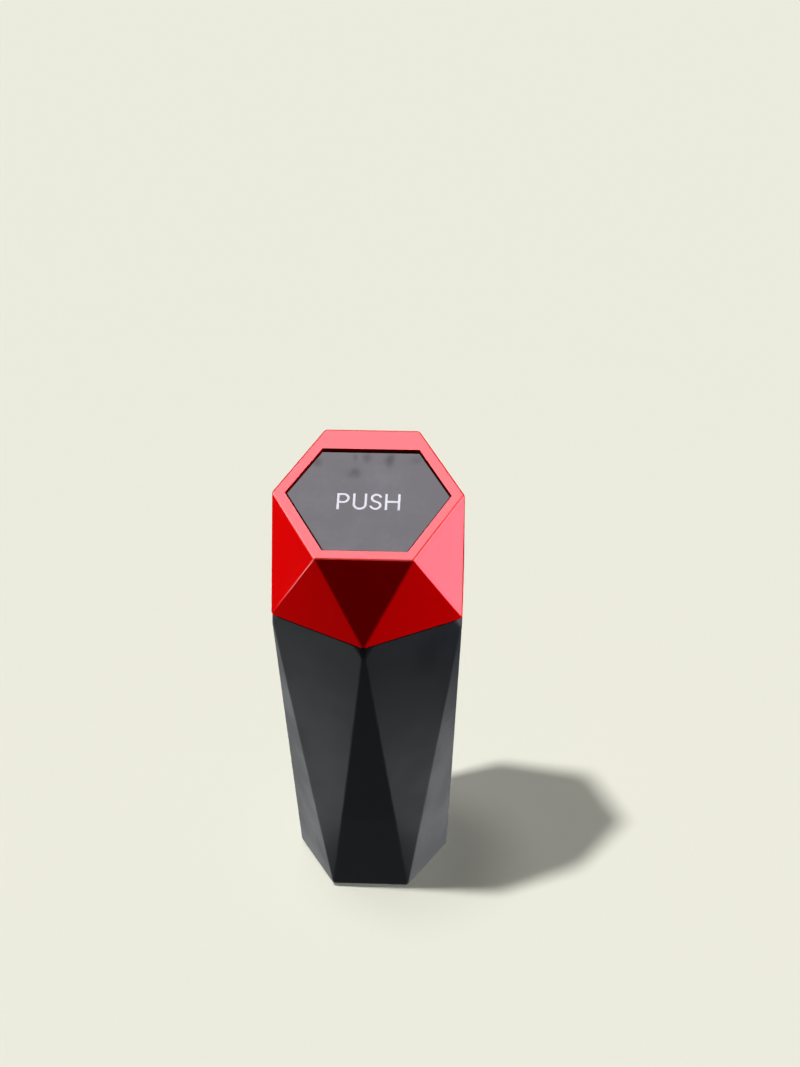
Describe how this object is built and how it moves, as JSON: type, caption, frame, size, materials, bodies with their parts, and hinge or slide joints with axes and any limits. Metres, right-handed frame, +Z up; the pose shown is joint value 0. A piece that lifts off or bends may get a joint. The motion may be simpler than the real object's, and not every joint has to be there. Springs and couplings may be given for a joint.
{
  "type": "car trash bin",
  "caption": "Tall faceted hexagonal car waste bin with a sprung push flap in the sloping top of its lift-off cover.",
  "frame": {"origin": "middle of the underside, on the plane that the foot pad stands on", "axes": "+Z up, -Y to the front, where the top is lowest, +X to the right seen from the front; the hinge is at the back"},
  "size_m": [0.082, 0.0937, 0.2097],
  "materials": {
    "bin_black": "satin, fine texture",
    "pad_rubber": "matte",
    "cover_red": "metallic lacquer",
    "flap_black": "gloss",
    "bracket_black": "matte",
    "pin_steel": "ground",
    "screw_steel": "zinc plated",
    "spring_steel": "drawn wire"
  },
  "bodies": {
    "bin": {"lower_body": "bin_black", "foot_pad": "pad_rubber"},
    "cover": {"top_cover": "cover_red", "hinge_bracket": "bracket_black", "bracket_screws": "screw_steel", "hinge_pin": "pin_steel", "spring_right": "spring_steel", "spring_left": "spring_steel"},
    "flap": {"push_flap": "flap_black"}
  },
  "joints": [
    {"name": "cover_lift", "type": "slide", "parent": "bin", "child": "cover", "axis": [0, 0, 1], "range_m": [0, 0.05]},
    {"name": "flap_push", "type": "hinge", "parent": "cover", "child": "flap", "pos_m": [0, 0.02757, 0.20239], "axis": [1, 0, 0], "range_deg": [0, 32], "stiffness_Nm_per_rad": 0.03, "springref_deg": -34.38, "deforming": ["spring_right", "spring_left"]}
  ]
}
